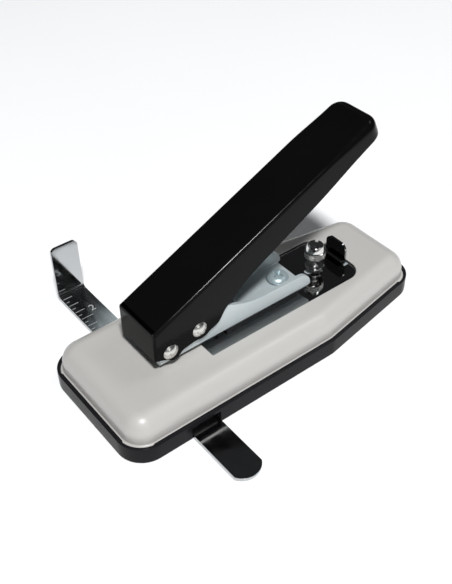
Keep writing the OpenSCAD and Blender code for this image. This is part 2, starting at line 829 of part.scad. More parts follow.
base_pad();
chip_tray();
base_cover();
bed_channel();
cover_studs();
die_plate();
die_screws();
frame_arm();
arm_spacer();
arm_screws();
arm_lock_washers();
arm_nuts();
handle();
pivot_rivet();
drive_rivet();
punch_blade();
punch_head();
blade_pins();
return_springs();
depth_gauge();
thumbscrew();
thumbscrew_washer();
thumbscrew_nut();
side_guide();
guide_keeper();
keeper_rivets();
guide_leaf_spring();
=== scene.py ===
import json
import math

import bmesh
import bpy
from mathutils import Matrix, Vector


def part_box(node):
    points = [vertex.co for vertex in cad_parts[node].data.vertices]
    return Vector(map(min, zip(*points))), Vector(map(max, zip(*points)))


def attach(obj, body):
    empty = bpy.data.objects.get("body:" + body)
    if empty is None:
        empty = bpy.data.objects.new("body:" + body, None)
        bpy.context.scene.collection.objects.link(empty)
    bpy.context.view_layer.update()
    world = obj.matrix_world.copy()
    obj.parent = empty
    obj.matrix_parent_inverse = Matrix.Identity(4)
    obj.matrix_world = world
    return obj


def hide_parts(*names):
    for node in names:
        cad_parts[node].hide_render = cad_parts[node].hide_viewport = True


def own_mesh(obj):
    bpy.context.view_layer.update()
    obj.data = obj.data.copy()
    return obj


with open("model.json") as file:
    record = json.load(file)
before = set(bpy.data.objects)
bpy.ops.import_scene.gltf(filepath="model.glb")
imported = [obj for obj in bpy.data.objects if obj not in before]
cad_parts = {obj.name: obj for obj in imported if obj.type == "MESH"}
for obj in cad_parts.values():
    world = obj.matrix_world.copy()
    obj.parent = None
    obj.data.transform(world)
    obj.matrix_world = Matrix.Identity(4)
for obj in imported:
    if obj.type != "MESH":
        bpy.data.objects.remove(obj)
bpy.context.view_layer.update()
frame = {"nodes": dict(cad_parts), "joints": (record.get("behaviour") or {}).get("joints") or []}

MM = 0.001
WELD = 0.002
NODES = frame["nodes"]


# ---------------------------------------------------------------- measures

def box(node):
    """The CAD node's lowest and highest corner, in millimetres."""
    low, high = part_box(node)
    return low / MM, high / MM


def joint(name):
    return next(j for j in frame["joints"] if j["name"] == name)


def joint_point(name):
    j = joint(name)
    return Vector(j["pos_m"]) / MM


def arc(cx, cy, r, a0, a1, n):
    """Points along an arc, in degrees."""
    out = []
    for i in range(n + 1):
        a = math.radians(a0 + (a1 - a0) * i / n)
        out.append((cx + r * math.cos(a), cy + r * math.sin(a)))
    return out


def smoothstep(x):
    x = min(1.0, max(0.0, x))
    return x * x * (3 - 2 * x)


def lerp(a, b, t):
    return a + (b - a) * t


def resample(points, n):
    """n points evenly spaced along a polyline."""
    points = [Vector(p) for p in points]
    lengths = [0.0]
    for a, b in zip(points, points[1:]):
        lengths.append(lengths[-1] + (b - a).length)
    out, k = [], 0
    for i in range(n):
        s = lengths[-1] * i / (n - 1)
        while k < len(points) - 2 and lengths[k + 1] < s:
            k += 1
        span = lengths[k + 1] - lengths[k]
        t = (s - lengths[k]) / span if span > 1e-12 else 0
        out.append(points[k].lerp(points[k + 1], min(1, max(0, t))))
    return out


# ---------------------------------------------------------------- meshes

def new_mesh(name, verts, faces):
    """A mesh object from points in millimetres."""
    me = bpy.data.meshes.new(name)
    me.from_pydata([tuple(c * MM for c in v) for v in verts], [], faces)
    me.validate()
    obj = bpy.data.objects.new(name, me)
    bpy.context.scene.collection.objects.link(obj)
    return obj


def mend(obj):
    """Welds coincident points and turns the faces outward."""
    bm = bmesh.new()
    bm.from_mesh(obj.data)
    bmesh.ops.remove_doubles(bm, verts=bm.verts, dist=WELD * MM)
    bmesh.ops.recalc_face_normals(bm, faces=bm.faces)
    bm.to_mesh(obj.data)
    bm.free()
    return obj


def bake(obj):
    """Turns the modifiers into mesh."""
    dg = bpy.context.evaluated_depsgraph_get()
    me = bpy.data.meshes.new_from_object(obj.evaluated_get(dg), depsgraph=dg)
    old = obj.data
    obj.modifiers.clear()
    obj.data = me
    me.name = obj.name
    bpy.data.meshes.remove(old)
    return obj


def cut(obj, *tools, how="DIFFERENCE"):
    """Boolean with other objects, which are then removed."""
    for tool in tools:
        m = obj.modifiers.new("cut", "BOOLEAN")
        m.operation = how
        m.solver = "EXACT"
        m.object = tool
        bake(obj)
        me = tool.data
        bpy.data.objects.remove(tool)
        bpy.data.meshes.remove(me)
    return mend(obj)


def flatten(obj, angle=0.5):
    """Joins coplanar faces again."""
    bm = bmesh.new()
    bm.from_mesh(obj.data)
    bmesh.ops.dissolve_limit(
        bm, angle_limit=math.radians(angle), verts=bm.verts, edges=bm.edges
    )
    bm.to_mesh(obj.data)
    bm.free()
    return obj


def finish_mesh(obj, bevel=0.0, segments=3, angle=40, sharp=50):
    """Rounds the sharp edges and sets the shading normals."""
    if bevel:
        m = obj.modifiers.new("bevel", "BEVEL")
        m.width = bevel * MM
        m.segments = segments
        m.limit_method = "ANGLE"
        m.angle_limit = math.radians(angle)
        m.use_clamp_overlap = True
        m.miter_outer = "MITER_ARC"
        bake(obj)
    for p in obj.data.polygons:
        p.use_smooth = True
    obj.data.set_sharp_from_angle(angle=math.radians(sharp))
    m = obj.modifiers.new("normals", "WEIGHTED_NORMAL")
    m.mode = "FACE_AREA"
    m.weight = 60
    m.keep_sharp = True
    bake(obj)
    return obj


def loft(name, rings, closed=False):
    """Rings of points joined one to the next."""
    n = len(rings[0])
    verts = [p for ring in rings for p in ring]
    faces = []
    count = len(rings)
    for i in range(count if closed else count - 1):
        for j in range(n):
            k = (j + 1) % n
            a, b = i * n, ((i + 1) % count) * n
            faces.append((a + j, a + k, b + k, b + j))
    if not closed:
        faces.append(tuple(reversed(range(n))))
        faces.append(tuple(range((count - 1) * n, count * n)))
    return mend(new_mesh(name, verts, faces))


def prism(name, outline, z0, z1):
    low = [(p[0], p[1], z0) for p in outline]
    high = [(p[0], p[1], z1) for p in outline]
    return loft(name, [low, high])


def block(name, low, high):
    x0, y0, z0 = low
    x1, y1, z1 = high
    return prism(name, [(x0, y0), (x1, y0), (x1, y1), (x0, y1)], z0, z1)


def turn(name, profile, n=64, shape=None):
    """Lathe round Z: profile is (radius, height). shape may shift a point."""
    rings = []
    for r, z in profile:
        ring = []
        for j in range(n):
            a = 2 * math.pi * j / n
            rr, zz = shape(r, z, a) if shape else (r, z)
            ring.append((rr * math.cos(a), rr * math.sin(a), zz))
        rings.append(ring)
    return loft(name, rings)


def grid(name, rows):
    """Open sheet through rows of points."""
    n = len(rows[0])
    verts = [p for row in rows for p in row]
    faces = []
    for i in range(len(rows) - 1):
        for j in range(n - 1):
            a, b = i * n + j, (i + 1) * n + j
            faces.append((a, a + 1, b + 1, b))
    return new_mesh(name, verts, faces)


def place(obj, matrix):
    obj.data.transform(matrix)
    return obj


def move(obj, x, y, z):
    return place(obj, Matrix.Translation((x * MM, y * MM, z * MM)))


def turned(obj, degrees, axis):
    return place(obj, Matrix.Rotation(math.radians(degrees), 4, axis))


def join(name, *objs):
    """One mesh object out of several."""
    bm = bmesh.new()
    for o in objs:
        bm.from_mesh(o.data)
    me = bpy.data.meshes.new(name)
    bm.to_mesh(me)
    bm.free()
    for o in objs:
        old = o.data
        bpy.data.objects.remove(o)
        bpy.data.meshes.remove(old)
    obj = bpy.data.objects.new(name, me)
    bpy.context.scene.collection.objects.link(obj)
    return obj


def fit(obj, node):
    """Brings the piece's box exactly onto the CAD node's box."""
    low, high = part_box(node)
    co = [v.co for v in obj.data.vertices]
    for axis in range(3):
        a = min(c[axis] for c in co)
        b = max(c[axis] for c in co)
        scale = (high[axis] - low[axis]) / (b - a)
        for c in co:
            c[axis] = low[axis] + (c[axis] - a) * scale
    return obj


def wear(obj, material, body, slot, *nodes):
    """Gives the piece its finish and its place in the frame."""
    obj.data.materials.clear()
    obj.data.materials.append(material)
    if nodes:
        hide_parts(*nodes)
    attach(obj, body)
    return obj


# ---------------------------------------------------------------- materials

class Shader:
    """A small helper round one material's nodes."""

    def __init__(self, name):
        self.mat = bpy.data.materials.new(name)
        self.mat.use_nodes = True
        self.tree = self.mat.node_tree
        self.tree.nodes.clear()
        self.out = self.add("ShaderNodeOutputMaterial")
        self.bsdf = self.add("ShaderNodeBsdfPrincipled")
        self.link(self.bsdf.outputs["BSDF"], self.out.inputs["Surface"])
        self.coord = self.add("ShaderNodeTexCoord")
        self.bump_chain = None

    def add(self, kind, **values):
        node = self.tree.nodes.new(kind)
        for key, value in values.items():
            setattr(node, key, value)
        return node

    def link(self, a, b):
        self.tree.links.new(a, b)

    def set(self, **values):
        for key, value in values.items():
            self.bsdf.inputs[key.replace("_", " ")].default_value = value
        return self

    def space(self, scale=(1, 1, 1), turn_deg=(0, 0, 0)):
        """Object space in millimetres, stretched."""
        m = self.add("ShaderNodeMapping")
        m.inputs["Scale"].default_value = [s / MM for s in scale]
        m.inputs["Rotation"].default_value = [math.radians(a) for a in turn_deg]
        self.link(self.coord.outputs["Object"], m.inputs["Vector"])
        return m.outputs["Vector"]

    def noise(self, size, scale=(1, 1, 1), detail=3.0, distort=0.0, turn_deg=(0, 0, 0)):
        """Noise whose features are about size millimetres."""
        n = self.add("ShaderNodeTexNoise")
        n.inputs["Scale"].default_value = 1.0 / size
        n.inputs["Detail"].default_value = detail
        n.inputs["Roughness"].default_value = 0.5
        n.inputs["Distortion"].default_value = distort
        self.link(self.space(scale, turn_deg), n.inputs["Vector"])
        return n.outputs["Fac"]

    def cells(self, size):
        """Distance to scattered points about size millimetres apart."""
        n = self.add("ShaderNodeTexVoronoi", feature="F1")
        n.inputs["Scale"].default_value = 1.0 / size
        self.link(self.space(), n.inputs["Vector"])
        return n.outputs["Distance"]

    def spread(self, value, low_in, high_in, low, high):
        m = self.add("ShaderNodeMapRange")
        m.inputs["From Min"].default_value = low_in
        m.inputs["From Max"].default_value = high_in
        m.inputs["To Min"].default_value = low
        m.inputs["To Max"].default_value = high
        self.link(value, m.inputs["Value"])
        return m.outputs["Result"]

    def blend_colour(self, fac, a, b):
        m = self.add("ShaderNodeMix")
        m.data_type = "RGBA"
        m.inputs["A"].default_value = (*a, 1) if isinstance(a, tuple) else (0, 0, 0, 1)
        m.inputs["B"].default_value = (*b, 1)
        if not isinstance(a, tuple):
            self.link(a, m.inputs["A"])
        self.link(fac, m.inputs["Factor"])
        return m.outputs["Result"]

    def math(self, op, a, b):
        m = self.add("ShaderNodeMath")
        m.operation = op
        for socket, value in zip(m.inputs, (a, b)):
            if isinstance(value, (int, float)):
                socket.default_value = value
            else:
                self.link(value, socket)
        return m.outputs[0]

    def colour(self, output):
        self.link(output, self.bsdf.inputs["Base Color"])
        return self

    def rough(self, output):
        self.link(output, self.bsdf.inputs["Roughness"])
        return self

    def bump(self, height, depth_mm, strength=1.0):
        b = self.add("ShaderNodeBump")
        b.inputs["Strength"].default_value = strength
        b.inputs["Distance"].default_value = depth_mm * MM
        self.link(height, b.inputs["Height"])
        if self.bump_chain is not None:
            self.link(self.bump_chain, b.inputs["Normal"])
        self.bump_chain = b.outputs["Normal"]
        self.link(self.bump_chain, self.bsdf.inputs["Normal"])
        return self


def scratches(s, turn_deg, keep=0.93):
    """Sparse fine hairlines, from 0 to 1."""
    gap, length = 3.0, 25.0
    n = s.noise(gap / 8, scale=(gap / length, 1, 1), detail=1.0, turn_deg=(0, 0, turn_deg))
    return s.spread(n, keep - 0.22, keep - 0.14, 0.0, 1.0)


def make_black_plastic():
    s = Shader("tray_black_plastic")
    cloud = s.noise(28, detail=2)
    grain = s.noise(0.5, detail=2)
    s.colour(s.blend_colour(cloud, (0.008, 0.008, 0.009), (0.014, 0.0135, 0.015)))
    s.rough(s.spread(s.noise(6, detail=4), 0.3, 0.75, 0.19, 0.31))
    s.set(Specular_IOR_Level=0.07, IOR=1.45)
    s.bump(grain, 0.006, 0.5)
    s.bump(s.noise(7, detail=1), 0.05, 0.35)
    return s.mat


def make_grey_enamel():
    s = Shader("cover_grey_enamel")
    cloud = s.noise(40, detail=3)
    speck = s.spread(s.cells(4.3), 0.03, 0.05, 1.0, 0.0)
    base = s.blend_colour(cloud, (0.460, 0.446, 0.425), (0.482, 0.467, 0.446))
    s.colour(s.blend_colour(s.math("MULTIPLY", speck, 0.12), base, (0.30, 0.29, 0.28)))
    s.rough(s.spread(s.noise(9, detail=4), 0.3, 0.7, 0.34, 0.44))
    s.set(Coat_Weight=0.3, Coat_Roughness=0.22, Coat_IOR=1.45, Specular_IOR_Level=0.4)
    s.bump(s.noise(1.6, detail=1.5), 0.010, 0.5)
    s.bump(s.noise(0.35, detail=2), 0.003, 0.4)
    return s.mat


def make_black_enamel():
    s = Shader("handle_black_enamel")
    cloud = s.noise(35, detail=2)
    s.colour(s.blend_colour(cloud, (0.0022, 0.0021, 0.0023), (0.0045, 0.0043, 0.0046)))
    s.rough(s.spread(s.noise(5, detail=5), 0.3, 0.75, 0.09, 0.17))
    s.set(Specular_IOR_Level=0.09, IOR=1.45)
    s.bump(s.noise(1.4, detail=1.5), 0.008, 0.5)
    s.bump(scratches(s, turn_deg=8), -0.002, 0.5)
    return s.mat


def make_mirror_black():
    s = Shader("gauge_mirror_black")
    cloud = s.noise(20, detail=2)
    s.colour(s.blend_colour(cloud, (0.31, 0.31, 0.31), (0.37, 0.37, 0.37)))
    s.rough(s.spread(s.noise(4, detail=4), 0.3, 0.75, 0.035, 0.085))
    s.set(Metallic=1.0)
    s.bump(s.noise(2.5, detail=1), 0.006, 0.4)
    s.bump(scratches(s, turn_deg=3, keep=0.95), -0.0015, 0.4)
    return s.mat


def make_zinc():
    s = Shader("arm_zinc_plate")
    cloud = s.noise(14, detail=4, distort=0.6)
    tint = s.blend_colour(cloud, (0.58, 0.67, 0.70), (0.70, 0.74, 0.75))
    warm = s.spread(s.noise(9, detail=2), 0.55, 0.75, 0.0, 0.35)
    s.colour(s.blend_colour(warm, tint, (0.68, 0.69, 0.64)))
    brushed = s.noise(0.18, scale=(0.04, 1, 1), detail=2)
    s.rough(s.spread(s.noise(3, scale=(0.2, 1, 1), detail=4), 0.3, 0.7, 0.36, 0.50))
    s.set(Metallic=0.5)
    s.bump(brushed, 0.004, 0.5)
    s.bump(s.noise(0.9, detail=3), 0.006, 0.35)
    return s.mat


def make_zinc_screw():
    s = Shader("screw_zinc")
    tint = s.blend_colour(s.noise(3, detail=3), (0.40, 0.50, 0.53), (0.50, 0.58, 0.60))
    s.colour(tint)
    s.rough(s.spread(s.noise(1.2, detail=4), 0.3, 0.7, 0.30, 0.42))
    s.set(Metallic=0.5)
    s.bump(s.noise(0.6, detail=3), 0.006, 0.4)
    return s.mat


def make_nickel(name, tone, low, high):
    s = Shader(name)
    a = tuple(0.90 * t for t in tone)
    s.colour(s.blend_colour(s.noise(4, detail=3), a, tone))
    s.rough(s.spread(s.noise(1.5, detail=4), 0.3, 0.7, low, high))
    s.set(Metallic=1.0)
    s.bump(s.noise(0.5, detail=3), 0.004, 0.5)
    s.bump(s.noise(0.12, scale=(1, 1, 0.1), detail=1), 0.002, 0.3)
    return s.mat


def make_chrome():
    s = Shader("guide_bright_strip")
    s.colour(s.blend_colour(s.noise(25, detail=2), (0.47, 0.48, 0.49), (0.53, 0.54, 0.54)))
    s.rough(s.spread(s.noise(5, scale=(1, 0.15, 1), detail=5), 0.3, 0.7, 0.06, 0.15))
    s.set(Metallic=1.0)
    s.bump(s.noise(0.15, scale=(1, 0.03, 1), detail=1), 0.0015, 0.4)
    s.bump(scratches(s, turn_deg=80), -0.002, 0.4)
    return s.mat


def make_tool_steel():
    s = Shader("tool_steel")
    s.colour(s.blend_colour(s.noise(8, detail=3), (0.34, 0.34, 0.35), (0.46, 0.46, 0.47)))
    s.rough(s.spread(s.noise(2, scale=(1, 0.2, 1), detail=3), 0.3, 0.7, 0.25, 0.42))
    s.set(Metallic=1.0)
    s.bump(s.noise(0.2, scale=(1, 0.03, 1), detail=2), 0.004, 0.5)
    return s.mat


def make_rubber():
    s = Shader("pad_rubber")
    s.colour(s.blend_colour(s.noise(10, detail=4), (0.020, 0.020, 0.021), (0.034, 0.034, 0.035)))
    s.rough(s.spread(s.noise(1.5, detail=4), 0.3, 0.7, 0.62, 0.82))
    s.set(Specular_IOR_Level=0.3)
    s.bump(s.noise(0.4, detail=4), 0.03, 0.6)
    return s.mat


def make_scale_etch():
    s = Shader("scale_etched_lines")
    s.colour(s.blend_colour(s.noise(0.6, detail=3), (0.42, 0.43, 0.43), (0.58, 0.59, 0.59)))
    s.rough(s.spread(s.noise(0.8, detail=3), 0.3, 0.7, 0.50, 0.70))
    s.set(Metallic=0.4)
    s.bump(s.noise(0.25, detail=2), 0.004, 0.4)
    return s.mat


def make_floor():
    s = Shader("studio_floor")
    s.colour(s.blend_colour(s.noise(300, detail=2), (0.955, 0.955, 0.96), (0.975, 0.975, 0.975)))
    s.rough(s.spread(s.noise(120, detail=3), 0.3, 0.7, 0.6, 0.7))
    s.set(Specular_IOR_Level=0.2)
    return s.mat


black_plastic = make_black_plastic()
grey_enamel = make_grey_enamel()
black_enamel = make_black_enamel()
mirror_black = make_mirror_black()
zinc = make_zinc()
zinc_screw = make_zinc_screw()
rivet_nickel = make_nickel("rivet_nickel", (0.72, 0.71, 0.68), 0.24, 0.34)
knob_nickel = make_nickel("knob_nickel", (0.76, 0.76, 0.74), 0.08, 0.18)
spring_steel = make_nickel("spring_wire", (0.55, 0.55, 0.56), 0.18, 0.30)
chrome = make_chrome()
tool_steel = make_tool_steel()
rubber = make_rubber()
scale_etch = make_scale_etch()

# ---------------------------------------------------------------- base outline

tray_low, tray_high = box("chip_tray")
HALF_LEN = (tray_high.x - tray_low.x) / 2
HALF_WID = (tray_high.y - tray_low.y) / 2
TAIL_HALF = 26.25
KNEE_X = 24.3
CORNER_R = 13.5
CORNER_KEEP = 12
TAPER = math.degrees(math.atan((HALF_WID - TAIL_HALF) / (HALF_LEN - KNEE_X)))


def base_outline(inset, side=1):
    """The base in plan, counter-clockwise from the nose's near corner."""
    corner = 16
    t = math.radians(TAPER)
    tail_x = HALF_LEN - CORNER_R
    tail_y = HALF_WID - ((tail_x - KNEE_X) * math.sin(t) + CORNER_R) / math.cos(t)
    knee = (KNEE_X - CORNER_R * math.tan(t / 2), HALF_WID - CORNER_R)
    nose = (-HALF_LEN + CORNER_R, HALF_WID - CORNER_R)
    r = CORNER_R - inset
    arcs = [
        arc(nose[0], -nose[1], r, 180, 270, corner),
        arc(knee[0], -knee[1], r, 270, 270 + TAPER, 4),
        arc(tail_x, -tail_y, r, 270 + TAPER, 360, corner),
        arc(tail_x, tail_y, r, 0, 90 - TAPER, corner),
        arc(knee[0], knee[1], r, 90 - TAPER, 90, 4),
        arc(nose[0], nose[1], r, 90, 180, corner),
    ]
    out = []
    for i, points in enumerate(arcs):
        out += points
        a, b = points[-1], arcs[(i + 1) % len(arcs)][0]
        for k in range(1, side):
            out.append((lerp(a[0], b[0], k / side), lerp(a[1], b[1], k / side)))
    return out


def ring_at(inset, z):
    return [(x, y, z) for x, y in base_outline(inset)]


# ---------------------------------------------------------------- pad

def build_pad():
    top = box("base_pad")[1].z
    inset = 3.5
    rings = []
    for step, z in [(0.25, 0), (0, 0.2), (0, 0.6), (0.2, top)]:
        rings.append(ring_at(inset + step, z))
    pad = loft("pad_sheet", rings)
    finish_mesh(fit(pad, "base_pad"))
    wear(pad, rubber, "base", "rubber", "base_pad")


# ---------------------------------------------------------------- tray

WALL = 1.4
LIP_IN = 2.1
LEDGE_IN = 2.8
SEAT_Z = 7.9
NOTCH_Z = 7.6
TRAY_SIDE = 120


def near_corner(x, y):
    """True where the tray's inturned lip is left out."""
    ends = [(-HALF_LEN, HALF_WID), (HALF_LEN, TAIL_HALF)]
    return any(abs(x - cx) < CORNER_KEEP and abs(abs(y) - cy) < CORNER_KEEP for cx, cy in ends)


def tray_ring(inset, z, lip=None):
    """A ring whose inner lip stops short of the corners."""
    outer = base_outline(0, side=TRAY_SIDE)
    here = base_outline(inset, side=TRAY_SIDE)
    if lip is None:
        return [(x, y, z) for x, y in here]
    short = base_outline(lip, side=TRAY_SIDE)
    return [
        ((a[0], a[1], z) if near_corner(o[0], o[1]) else (b[0], b[1], z))
        for o, a, b in zip(outer, short, here)
    ]


def build_tray():
    top = tray_high.z
    foot = tray_low.z
    floor_z = 2.4
    steps = [
        (3.4, 0.8), (3.4, foot), (0.7, foot), (0.25, foot + 0.12), (0.06, foot + 0.4), (0, foot + 0.9),
        (0, top - 0.45), (0.06, top - 0.2), (0.2, top - 0.06), (0.42, top),
    ]
    rings = [tray_ring(i, z) for i, z in steps]
    rings.append(tray_ring(LIP_IN - 0.25, top, WALL - 0.12))
    rings.append(tray_ring(LIP_IN - 0.06, top - 0.09, WALL - 0.04))
    rings.append(tray_ring(LIP_IN, top - 0.25, WALL))
    rings.append(tray_ring(LIP_IN, top - 0.7, WALL))
    rings.append(tray_ring(WALL + 0.001, top - 0.71))
    rings.append(tray_ring(WALL, SEAT_Z + 0.02))
    rings.append(tray_ring(LEDGE_IN, SEAT_Z))
    rings.append(tray_ring(LEDGE_IN, floor_z + 0.8))
    rings.append(tray_ring(LEDGE_IN + 0.8, floor_z))
    tray = loft("tray_body", rings)
    g_low, g_high = box("side_guide")
    gap = 0.3
    slot = block(
        "slot_tool",
        (g_low.x - gap, -HALF_WID - 2, foot - 1),
        (g_high.x + gap, HALF_WID + 2, NOTCH_Z),
    )
    cut(tray, slot)
    fit(tray, "chip_tray")
    finish_mesh(tray, sharp=38)
    wear(tray, black_plastic, "base", "black_plastic", "chip_tray")


# ---------------------------------------------------------------- cover

COVER_IN = 3.0
COVER_T = 1.0
ROLL_R = 9.0
OPEN_FRONT = -35.5
OPEN_HALF = 18.7
OPEN_REAR = 61.2
OPEN_R = 9.0


def build_cover():
    low, high = box("base_cover")
    deck = high.z
    seat = low.z
    lip = 1.6
    steps = [(lip + 0.25, seat), (lip + 0.05, seat + 0.12), (lip, seat + 0.4)]
    steps += [(lip + 0.08, seat + 0.78), (lip + 0.3, seat + 0.96), (lip + 0.55, seat + 1.0)]
    steps += arc(COVER_IN - 0.8, seat + 1.8, 0.8, 270, 360, 5)
    steps.append((COVER_IN, seat + 3.2))
    for i in range(19):
        a = math.radians(90 * i / 18)
        steps.append((COVER_IN + ROLL_R * (1 - math.cos(a)), deck - ROLL_R + ROLL_R * math.sin(a)))
    steps.append((COVER_IN + ROLL_R + 0.8, deck))
    r = ROLL_R - COVER_T
    inner = [(COVER_IN + ROLL_R + 0.6, deck - COVER_T)]
    for i in range(10, -1, -1):
        a = math.radians(90 * i / 10)
        inner.append((COVER_IN + COVER_T + r * (1 - math.cos(a)), deck - ROLL_R + r * math.sin(a)))
    inner.append((COVER_IN + COVER_T, seat))
    outer_rings = [ring_at(i, z) for i, z in steps]
    inner_rings = [ring_at(i, z) for i, z in inner]
    # the inner skin comes first, so that both flat caps close the solid
    cover = loft("cover_shell", inner_rings + outer_rings)
    d_low, d_high = box("die_plate")
    gap = 0.2
    opening = [(OPEN_FRONT, -OPEN_HALF)]
    opening += arc(OPEN_REAR - OPEN_R, -OPEN_HALF + OPEN_R, OPEN_R, 270, 360, 14)
    opening += arc(OPEN_REAR - OPEN_R, OPEN_HALF - OPEN_R, OPEN_R, 0, 90, 14)
    opening += [(OPEN_FRONT, OPEN_HALF)]
    pocket = [(OPEN_FRONT, d_high.y + gap), (d_low.x - gap, d_high.y + gap)]
    pocket += [(d_low.x - gap, d_low.y - gap), (OPEN_FRONT, d_low.y - gap)]
    cut(cover, prism("open_tool", opening + pocket, deck - 4, deck + 4))
    fit(cover, "base_cover")
    finish_mesh(cover, bevel=0.45, segments=4, angle=60, sharp=60)
    wear(cover, grey_enamel, "base", "grey_paint", "base_cover")


# ---------------------------------------------------------------- handle

PIVOT = joint_point("handle_pivot")
RISE = 24.9
H_HALF = box("handle")[1].y
H_T = 1.2
H_TOP = 16.5
H_LEN = 141.0
FOOT = (-8.24, 1.95)
H_END_R = 3.4
H_END_V = 10.3


def front_u(v):
    """The front face stands upright at rest, so it leans in the handle's own frame."""
    return FOOT[0] + (v - FOOT[1]) * math.tan(math.radians(RISE))


def handle_edge():
    """Lower edge of the side walls, from the front foot to the free end."""
    a = math.radians(RISE)
    b_low, b_high = box("drive_rivet")
    d = Vector(((b_low.x + b_high.x) / 2 - PIVOT.x, (b_low.z + b_high.z) / 2 - PIVOT.z))
    u = d.x * math.cos(a) + d.y * math.sin(a)
    v = -d.x * math.sin(a) + d.y * math.cos(a)
    points = [FOOT, (-5.4, -1.0), (-3.7, -3.3)]
    points += arc(0, 0, 6.0, -115, -75, 6)
    points += [(3.6, -5.0), (5.4, -5.3), (8.7, -6.2), (10.9, -6.6)]
    points += arc(u, v, 6.0, -120, -65, 6)
    points += [(21.8, -9.1), (24.5, -9.0), (26.1, -8.3), (29.0, -6.4), (31.6, -4.9), (35, -4.2)]
    points += [(43, -1.7), (51, -0.2), (76, 1.2), (98, 2.6), (111, 4.2), (121, 5.5)]
    points += [(H_LEN - 7.0, 6.6)]
    return points


def soften(points):
    """Chaikin corner cutting, twice, that keeps both ends."""
    pts = [Vector(p) for p in points]
    for _ in range(2):
        out = [pts[0]]
        for a, b in zip(pts, pts[1:]):
            out += [a.lerp(b, 0.25), a.lerp(b, 0.75)]
        out.append(pts[-1])
        pts = out
    return pts


def build_handle():
    top_r, end_r, nose_r = 1.9, 4.0, 2.0
    corner, plan_r = 1.1, 7.0
    n_side, n_corner, n_front, n_end = 120, 8, 5, 9
    # stations round the skirt: (u, y) at the foot, (u, y) at the top, foot height, edge radius
    stations = []
    lows = resample(soften(handle_edge()), n_side)
    u0 = lows[0].x + corner
    u1 = H_LEN - plan_r
    for i, p in enumerate(lows):
        t = i / (n_side - 1)
        u_low = lerp(u0, u1, (p.x - lows[0].x) / (lows[-1].x - lows[0].x))
        u_high = lerp(front_u(H_TOP - nose_r) + corner, u1, t)
        end_share = smoothstep((t - 0.8) / 0.2)
        nose_share = smoothstep((0.08 - t) / 0.08)
        r = top_r + (end_r - top_r) * end_share + (nose_r - top_r) * nose_share
        stations.append(((u_low, -H_HALF), (u_high, -H_HALF), p.y, r))
    for k in range(1, n_corner + 1):
        a = math.radians(270 + 90 * k / n_corner)
        q = (u1 + plan_r * math.cos(a), -H_HALF + plan_r + plan_r * math.sin(a))
        past = max(0.0, q[0] - (H_LEN - H_END_R))
        z = H_END_V - math.sqrt(max(0.0, H_END_R**2 - past**2))
        z = max(z, lerp(lows[-1].y, H_END_V - H_END_R, k / n_corner))
        stations.append((q, q, z, end_r))
    y_end = H_HALF - plan_r
    for k in range(1, n_end):
        q = (H_LEN, lerp(-y_end, y_end, k / n_end))
        stations.append((q, q, H_END_V, end_r))
    mirror = []
    for low, high, z, r in reversed(stations[: n_side + n_corner]):
        mirror.append(((low[0], -low[1]), (high[0], -high[1]), z, r))
    stations += mirror
    # front corners and the front face
    high_front = front_u(H_TOP - nose_r)

    def front_corner(sign, a0, a1):
        out = []
        for k in range(1, n_corner):
            a = math.radians(lerp(a0, a1, k / n_corner))
            dy = sign * (H_HALF - corner) + corner * math.sin(a)
            du = corner + corner * math.cos(a)
            low = (FOOT[0] + du, dy)
            high = (high_front + du, dy)
            out.append((low, high, FOOT[1], nose_r))
        return out

    stations += front_corner(1, 90, 180)
    for k in range(n_front + 1):
        y = lerp(H_HALF - corner, -H_HALF + corner, k / n_front)
        stations.append(((FOOT[0], y), (high_front, y), FOOT[1], nose_r))
    stations += front_corner(-1, 180, 270)

    n = len(stations)
    rows_wall, rows_arc = 10, 9
    rings = []
    for k in range(rows_wall + 1):
        t = k / rows_wall
        ring = []
        for low, high, z, r in stations:
            ring.append((lerp(low[0], high[0], t), lerp(low[1], high[1], t), lerp(z, H_TOP - r, t)))
        rings.append(ring)
    # inward directions at the top outline
    tops = [Vector(s[1]) for s in stations]
    inward = []
    for i in range(n):
        d = tops[(i + 1) % n] - tops[i - 1]
        if d.length < 1e-9:
            d = Vector((1, 0))
        d.normalize()
        inward.append(Vector((-d.y, d.x)))
    lean = math.tan(math.radians(RISE))
    for k in range(1, rows_arc + 1):
        a = math.radians(90 * k / rows_arc)
        ring = []
        for (low, high, z, r), w in zip(stations, inward):
            back = r * (1 - math.cos(a))
            v = H_TOP - r + r * math.sin(a)
            front = max(0.0, w.x)
            shift = front * lean * (v - (H_TOP - r)) * (1 - k / rows_arc * 0.45)
            ring.append((high[0] + w.x * back + shift, high[1] + w.y * back, v))
        rings.append(ring)
    rings.append([(p[0] + w.x * 0.5, p[1] + w.y * 0.5, H_TOP) for p, w in zip(rings[-1], inward)])
    # the inner skin follows the outer one, a sheet's thickness further in
    inside = []
    for ring in rings:
        row = []
        for p, (low, high, z, r), w in zip(ring, stations, inward):
            depth = H_T * smoothstep((p[2] - (H_TOP - r)) / r)
            x = p[0] + w.x * (H_T - depth * 0.35)
            y = p[1] + w.y * (H_T - depth * 0.35)
            row.append((x, y, p[2] - depth))
        inside.append(row)
    handle = loft("handle_shell", list(reversed(inside)) + rings)
    turned(handle, -RISE, "Y")
    move(handle, PIVOT.x, 0, PIVOT.z)
    finish_mesh(handle, bevel=0.25, segments=2, angle=70, sharp=60)
    fit(handle, "handle")
    wear(handle, black_enamel, "handle", "black_paint", "handle")


# ---------------------------------------------------------------- arm

